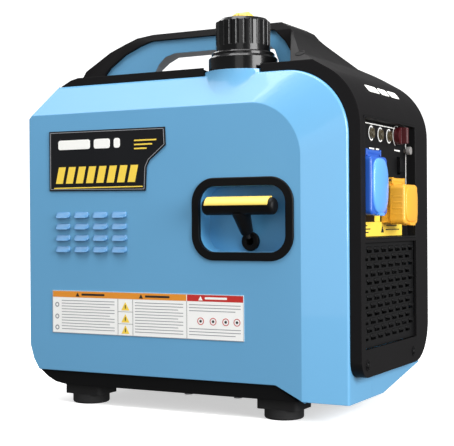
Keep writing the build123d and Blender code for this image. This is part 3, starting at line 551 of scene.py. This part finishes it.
def label_marks():
    """Blank print of the information label: headers, dividers, triangles and lines."""

    def orange(work):
        bar(work, front, -187.6, 10.4, 136.6, 144.2, LABEL_LOW, LABEL_HIGH, 0.3)

    def red(work):
        bar(work, front, 11.4, 87.2, 136.6, 144.2, LABEL_LOW, LABEL_HIGH, 0.3)
        for u in LABEL_RINGS:
            arc_band(work, front, (u, RING_V), (3.6, 4.5), (0, 360), (LABEL_LOW, LABEL_HIGH), 18)

    def black(work):
        above = LABEL_HIGH
        for u0, u1 in ((-143, -108), (-48, -13)):
            bar(work, front, u0, u1, 139.2, 141.8, above, above + 0.08, 0.8)
            slab(work, front, triangle(u0 - 6, 140, 3), above, above + 0.08)
        for u in (-88, -66, 11):
            bar(work, front, u - 0.25, u + 0.25, 92, 136.4, LABEL_LOW, LABEL_HIGH, 0.1)
        for v in (105.5, 120.5):
            bar(work, front, -87.6, -66.4, v, v + 0.4, LABEL_LOW, LABEL_HIGH, 0.1)
        for u in LABEL_RINGS:
            slab(work, front, circle(u, RING_V, 1.7, 12), LABEL_LOW, LABEL_HIGH)

    def yellow(work):
        for v in LABEL_ROWS:
            slab(work, front, triangle(-77, v, 6), LABEL_LOW, LABEL_HIGH)

    def grey(work):
        rows = [132 - 3.6 * i for i in range(11)]
        grey_lines(work, -174, -91, rows)
        grey_lines(work, -63, 8, rows)
        grey_lines(work, 14, 86, [132, 128.4, 124.8])
        grey_lines(work, 14, 86, [103.4, 99.8, 96.2])
        for v in LABEL_ROWS:
            arc_band(work, front, (-181, v), (1.8, 3.2), (0, 360), (LABEL_LOW, LABEL_HIGH), 14)
        frame_line(work, front, (-188.3, 87.8, 91.2, 144.8), 0.5, LABEL_LOW, LABEL_HIGH)

    def white(work):
        bar(work, front, 36, 66, 139.2, 141.8, LABEL_HIGH, LABEL_HIGH + 0.08, 0.8)
        slab(work, front, triangle(30, 140, 3), LABEL_HIGH, LABEL_HIGH + 0.08)

    def warning_dots(work):
        for v in LABEL_ROWS:
            bar(work, front, -77.7, -76.3, v - 2.4, v + 2.2, LABEL_HIGH, LABEL_HIGH + 0.08, 0.5)

    piece("label_orange", orange, "root", PRINT_AND_SHADE_FINISHES["orange"])
    piece("label_red", red, "root", PRINT_AND_SHADE_FINISHES["red"])
    piece("label_black", black, "root", PRINT_AND_SHADE_FINISHES["black"])
    piece("label_yellow", yellow, "root", PRINT_AND_SHADE_FINISHES["yellow"])
    piece("label_grey", grey, "root", PRINT_AND_SHADE_FINISHES["grey"])
    piece("label_white", white, "root", PRINT_AND_SHADE_FINISHES["white"])
    piece("label_triangle_marks", warning_dots, "root", PRINT_AND_SHADE_FINISHES["black"])


# --- rope ---------------------------------------------------------------------------------
def rope():
    """Three-strand starter rope between the guide and the grip."""
    grip_end = GRIP - PULL * 31.6
    guide_end = GRIP - PULL * 46
    side = PULL.cross(Vector((1, 0, 0))).normalized()
    other = PULL.cross(side)
    rings = 300
    around = 15
    turns = 34

    def draw(work):
        loops = []
        for i in range(rings + 1):
            share = i / rings
            centre = guide_end.lerp(grip_end, share)
            loop = []
            for k in range(around):
                angle = 2 * math.pi * k / around
                radius = 1.85 + 0.28 * abs(math.cos(1.5 * angle + math.pi * turns * share))
                spoke = side * math.cos(angle) + other * math.sin(angle)
                loop.append(work.verts.new(centre + spoke * radius))
            loops.append(loop)
        for lower, upper in zip(loops, loops[1:]):
            for k in range(around):
                j = (k + 1) % around
                work.faces.new((lower[k], lower[j], upper[j], upper[k]))
        work.faces.new(loops[0][::-1])
        work.faces.new(loops[-1])

    made = piece("starter_cord", draw, None, FINISHES["rope"], 80)
    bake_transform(made)
    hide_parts("starter_rope")


# --- control end --------------------------------------------------------------------------
LAMP_YS = (-55.0, -25.0, 5.0)
LAMP_Z = 335.0


def panel_marks():
    """Frame line, lamp arcs, blank legends and the yellow sticker of the panel."""
    low = PANEL_FLOOR
    high = PANEL_FLOOR + 0.25

    def pale(work):
        bar(work, end, -103, 67, 345.4, 346.6, low, high, 0.4)
        bar(work, end, 65.8, 67, 262, 345.2, low, high, 0.4)
        for y in LAMP_YS:
            arc_band(work, end, (y, LAMP_Z), (7.4, 8.8), (50, 310), (low, high), 26)
            bar(work, end, y - 5, y + 4, LAMP_Z + 10.2, LAMP_Z + 11, low, high - 0.05, 0.3)
        for y0, y1, z in ((-96, -88, 316), (-62, -46, 316), (-40, -30, 316), (24, 44, 318)):
            bar(work, end, y0, y1, z, z + 1.8, low, high, 0.5)
        arc_band(work, end, (32, 337), (12.2, 13.0), (20, 250), (low, high), 26)

    def sticker(work):
        bar(work, end, -102, 50, 213, 230, low, high, 1.2)
        bar(work, end, -46, -28, 230.2, 246, low, high, 1.2)

    def ink(work):
        above = high + 0.1
        slab(work, end, triangle(-20, 221, 5), high, above)
        for y0, y1, z in ((-98, -70, 225), (-98, -60, 221), (-98, -66, 217), (-8, 30, 225), (-8, 40, 220)):
            bar(work, end, y0, y1, z, z + 1.4, high, above, 0.5)

    piece("panel_legends", pale, "root", PRINT_AND_SHADE_FINISHES["white"])
    piece("panel_sticker", sticker, "root", PRINT_AND_SHADE_FINISHES["yellow"])
    piece("panel_sticker_marks", ink, "root", PRINT_AND_SHADE_FINISHES["black"])


def superellipse(centre, half, power=3.2, count=40):
    """Outline between an ellipse and a rectangle."""
    points = []
    for i in range(count):
        angle = 2 * math.pi * i / count
        c, s = math.cos(angle), math.sin(angle)
        u = math.copysign(abs(c) ** (2 / power), c) * half[0]
        v = math.copysign(abs(s) ** (2 / power), s) * half[1]
        points.append((centre[0] + u, centre[1] + v))
    return points


def crown(work, centre, half, base, rise, power, rim):
    """Domed face that springs from a raised rim."""
    layers = [
        (superellipse(centre, half, power), base - 0.6),
        (superellipse(centre, half, power), base + rim),
    ]
    for i in range(1, 9):
        angle = math.pi / 2 * i / 9
        scale = math.cos(angle)
        shape = superellipse(centre, (half[0] * scale, half[1] * scale), 2 + (power - 2) * scale)
        layers.append((shape, base + rim + rise * math.sin(angle)))
    stack(work, layers, end)


def lid_faces():
    """Domed face of the blue lid and the stepped face with a tab of the yellow lid."""

    def blue(work):
        crown(work, (-74, 272), (23.5, 32), 232, 5.0, 2.9, 0.8)
        bar(work, end, -82, -66, 237.2, 240.6, 226, 235, 1.2)

    def yellow(work):
        crown(work, (-1, 251), (20.5, 21), 245, 2.2, 4.5, 0.6)
        bar(work, end, -10, 8, 225.6, 228.8, 236, 247, 1.2)
        for side in (-1, 1):
            y = -1 + side * 24.1
            for i in range(4):
                z = 238 + 7 * i
                bar(work, end, min(y, y - side), max(y, y - side) + 0.2, z, z + 2.5, 230, 242, 0.3)

    blue_lit = finish("outlet_blue_lit", srgb(96, 166, 246), 0.30, scale=1200, vary=0.04, coat=0.3)
    piece("blue_lid_face", blue, "blue_lid", blue_lit, 40)
    piece("yellow_lid_face", yellow, "yellow_lid", AMBER, 40)


def grille_details():
    """Hoods over the grille's slots and the dark pleated filter behind them, coloured in painted shade."""

    def hoods(work):
        for row in range(12):
            shift = 6 if row % 2 else -6
            for i in range(7):
                u = -89 + shift + 24 * i
                hood(work, end, u, 95 + 9.2 * row + 1.4, 8.6, 4.0, 1.9, 222.0)

    def pleats(work):
        bar(work, end, -105, 71, 85, 205, 212.6, 213.8, 1)
        for i in range(29):
            z = 87 + 4.1 * i
            slab(work, end, [(-104, z), (70, z), (70, z + 1.6), (-104, z + 1.6)], 213.7, 215.6)

    piece("grille_hoods", hoods, "root", PANEL_BLACK, 50)
    # The pleated filter is drawn near-black: painted shade behind the grille.
    piece("grille_filter_painted_shade", pleats, "root", PRINT_AND_SHADE_FINISHES["shade"])


def end_details():
    """Cover screws of the control end, with a raised ring round each."""
    spots = ((-99, 66), (60, 66))

    def rings(work):
        for y, z in spots:
            arc_band(work, end, (y, z), (4.6, 6.4), (0, 360), (END_FACE - 0.2, END_FACE + 0.7), 28)

    def heads(work):
        for y, z in spots:
            screw_head(work, end, y, z, END_FACE - 0.1, 4.0)

    piece("end_screw_rings", rings, "root", FINISHES["black_plastic"], 50)
    piece("end_screws", heads, "root", FINISHES["black_plastic"], 50)


def shoulder_mark():
    """Blank bars on the curved shoulder above the control panel."""

    def on_curve(u, v, w):
        angle = math.radians(41) + v / 80
        reach = 80 + w
        return Vector((146 + reach * math.cos(angle), u, 338 + reach * math.sin(angle)))

    def bars(work):
        for y0, y1 in ((-50, -14), (-8, 20), (26, 56)):
            bar(work, on_curve, y0, y1, -7, 4, -0.1, 0.35, 3)

    piece("shoulder_mark", bars, "root", PRINT_AND_SHADE_FINISHES["white"], 50)


# --- exhaust end and rear -----------------------------------------------------------------
def rear_details():
    """Dark boxes of painted shade behind the louvres and the door's slots, louvre lips and the tail pipe's
    ring.
    """
    louvres = [92 + 13 * i for i in range(11)]

    def exhaust_box(work):
        outline = rounded(-90, 90, 84, 236, 4)
        slab(work, end, outline, -224.6, -223.4)
        for z in louvres:
            slab(work, end, [(-74, z + 3.4), (74, z + 3.4), (74, z + 5), (-74, z + 5)], -225.1, -224.5)

    def door_box(work):
        slab(work, rear, rounded(-108, 48, 132, 288, 6), 132.4, 133.6)
        for i in range(6):
            z = 160 + 20 * i
            bar(work, rear, -74, 14, z + 3, z + 4.4, 133.5, 134.8, 0.5)

    def trim(work):
        for z in louvres:
            bar(work, end, -75, 75, z + 3.1, z + 4.7, -233.4, -231.9, 0.6)

    def pipe_ring(work):
        arc_band(work, end, (5, 285), (15.6, 18.4), (0, 360), (-232.6, -226), 36)

    # Near-black sheets of painted shade stand in the louvres and the door's slots.
    piece("exhaust_painted_shade", exhaust_box, "root", PRINT_AND_SHADE_FINISHES["shade"])
    piece("door_painted_shade", door_box, "root", PRINT_AND_SHADE_FINISHES["shade"])
    piece("exhaust_louvre_lips", trim, "root", FINISHES["dark_plastic"], 50)
    piece("tail_pipe_ring", pipe_ring, "root", FINISHES["steel"], 50)


# --- top ----------------------------------------------------------------------------------
FILL_X = 62.0
FILL_Y = -88.0


def cap_details():
    """Arc arrows on the cap and a grip bar on the vent knob."""

    def arrows(work):
        for start in (20, 200):
            arc_band(work, top, (FILL_X, FILL_Y), (20, 23), (start, start + 90), (476.9, 477.5), 24)
            tip = math.radians(start + 98)
            u, v = FILL_X + 21.5 * math.cos(tip), FILL_Y + 21.5 * math.sin(tip)
            slab(work, top, triangle(u, v, 3.2), 476.9, 477.5)

    def knob_bar(work):
        bar(work, top, FILL_X - 9, FILL_X + 9, FILL_Y - 2, FILL_Y + 2, 483.8, 486, 1.8)

    piece("cap_arrows", arrows, "cap_shell", FINISHES["grey_plastic"], 50)
    piece("vent_knob_bar", knob_bar, "vent", FINISHES["yellow_plastic"], 50)


def shoulder_screw():
    """Recessed screw on the handle's shoulder, drawn as a ring and a disc in painted shade."""
    spot = Vector((144, -101, 428.6))
    normal = Vector((0, -0.529, 0.849))
    side = Vector((1, 0, 0))
    up = normal.cross(side)

    def on_slope(u, v, w):
        return spot + side * u + up * v + normal * w

    def recess(work):
        arc_band(work, on_slope, (0, 0), (5.2, 6.2), (0, 360), (-0.3, 0.4), 26)
        slab(work, on_slope, circle(0, 0, 5.3), -0.4, 0.12)

    # Ring and disc are near-black: painted shade in the recess.
    piece("shoulder_screw_painted_shade", recess, "root", PRINT_AND_SHADE_FINISHES["shade"], 50)


# --- stage --------------------------------------------------------------------------------
def backdrop():
    """Plain pale floor that curves up into a wall."""
    profile = [(-4.0, 0.0), (1.6, 0.0)]
    for i in range(1, 25):
        angle = math.pi / 2 * i / 24
        profile.append((1.6 + 1.6 * math.sin(angle), 1.6 - 1.6 * math.cos(angle)))
    profile.append((3.2, 5.0))
    work = bmesh.new()
    turn = Matrix.Rotation(math.radians(28.3), 4, "Z")
    rows = [[work.verts.new(turn @ Vector((x, y, z))) for x in (-5.0, 5.0)] for y, z in profile]
    for lower, upper in zip(rows, rows[1:]):
        work.faces.new((lower[0], lower[1], upper[1], upper[0]))
    data = bpy.data.meshes.new("backdrop")
    work.to_mesh(data)
    work.free()
    data.polygons.foreach_set("use_smooth", [True] * len(data.polygons))
    paper = finish("backdrop_paper", srgb(246, 246, 246), 0.9, scale=60, depth=0.01, vary=0.01, glow=0.60)
    data.materials.append(paper)
    made = bpy.data.objects.new("backdrop", data)
    made.visible_diffuse = False
    made.visible_glossy = False
    scene.collection.objects.link(made)


def light(name, position, target, size, power):
    """Soft square light aimed at a point."""
    data = bpy.data.lights.new(name, "AREA")
    data.size = size
    data.energy = power
    made = bpy.data.objects.new(name, data)
    made.location = position
    made.rotation_euler = (Vector(target) - Vector(position)).to_track_quat("-Z", "Y").to_euler()
    scene.collection.objects.link(made)


def surroundings():
    """White behind the object, and a weaker even light on it."""
    world = bpy.data.worlds.new("studio")
    world.use_nodes = True
    nodes, links = world.node_tree.nodes, world.node_tree.links
    path = nodes.new("ShaderNodeLightPath")
    strength = nodes.new("ShaderNodeMapRange")
    strength.inputs["To Min"].default_value = 0.24
    strength.inputs["To Max"].default_value = 1.0
    links.new(path.outputs["Is Camera Ray"], strength.inputs["Value"])
    nodes["Background"].inputs[0].default_value = (1, 1, 1, 1)
    links.new(strength.outputs["Result"], nodes["Background"].inputs[1])
    scene.world = world


def studio():
    """Broad light from the right and above, weaker fill from the left."""
    light("key_right", (2.3, -0.75, 0.8), (0.1, 0, 0.25), 1.3, 80)
    light("sheen", (-1.05, -1.2, 1.8), (0, 0, 0.3), 1.1, 13)
    light("fill_front", (0.7, -2.6, 0.5), (0, 0, 0.2), 1.2, 7)
    light("over", (0.0, -0.45, 2.1), (0, 0, 0.3), 1.5, 46)
    light("behind", (-1.2, 1.6, 1.6), (0, 0, 0.3), 1.4, 22)
    scene.view_settings.view_transform = "Standard"
    surroundings()


CAMERA_AT = (0.6914, -1.3016, 0.2310)
CAMERA_YAW = 28.29
CAMERA_PITCH = 89.95
CAMERA_ROLL = -0.36
CAMERA_LENS = 88.9


def camera():
    """Camera of the main picture."""
    data = bpy.data.cameras.new("main")
    data.lens = CAMERA_LENS
    data.sensor_width = 36
    made = bpy.data.objects.new("main_camera", data)
    scene.collection.objects.link(made)
    yaw = Matrix.Rotation(math.radians(CAMERA_YAW), 4, "Z")
    pitch = Matrix.Rotation(math.radians(CAMERA_PITCH), 4, "X")
    roll = Matrix.Rotation(math.radians(CAMERA_ROLL), 4, "Z")
    made.matrix_world = Matrix.Translation(CAMERA_AT) @ yaw @ pitch @ roll
    scene.camera = made


dress_frame()
soften_covers()
vent_hoods()
badge_marks()
label_marks()
rope()
panel_marks()
lid_faces()
grille_details()
end_details()
shoulder_mark()
rear_details()
cap_details()
shoulder_screw()
backdrop()
studio()
camera()
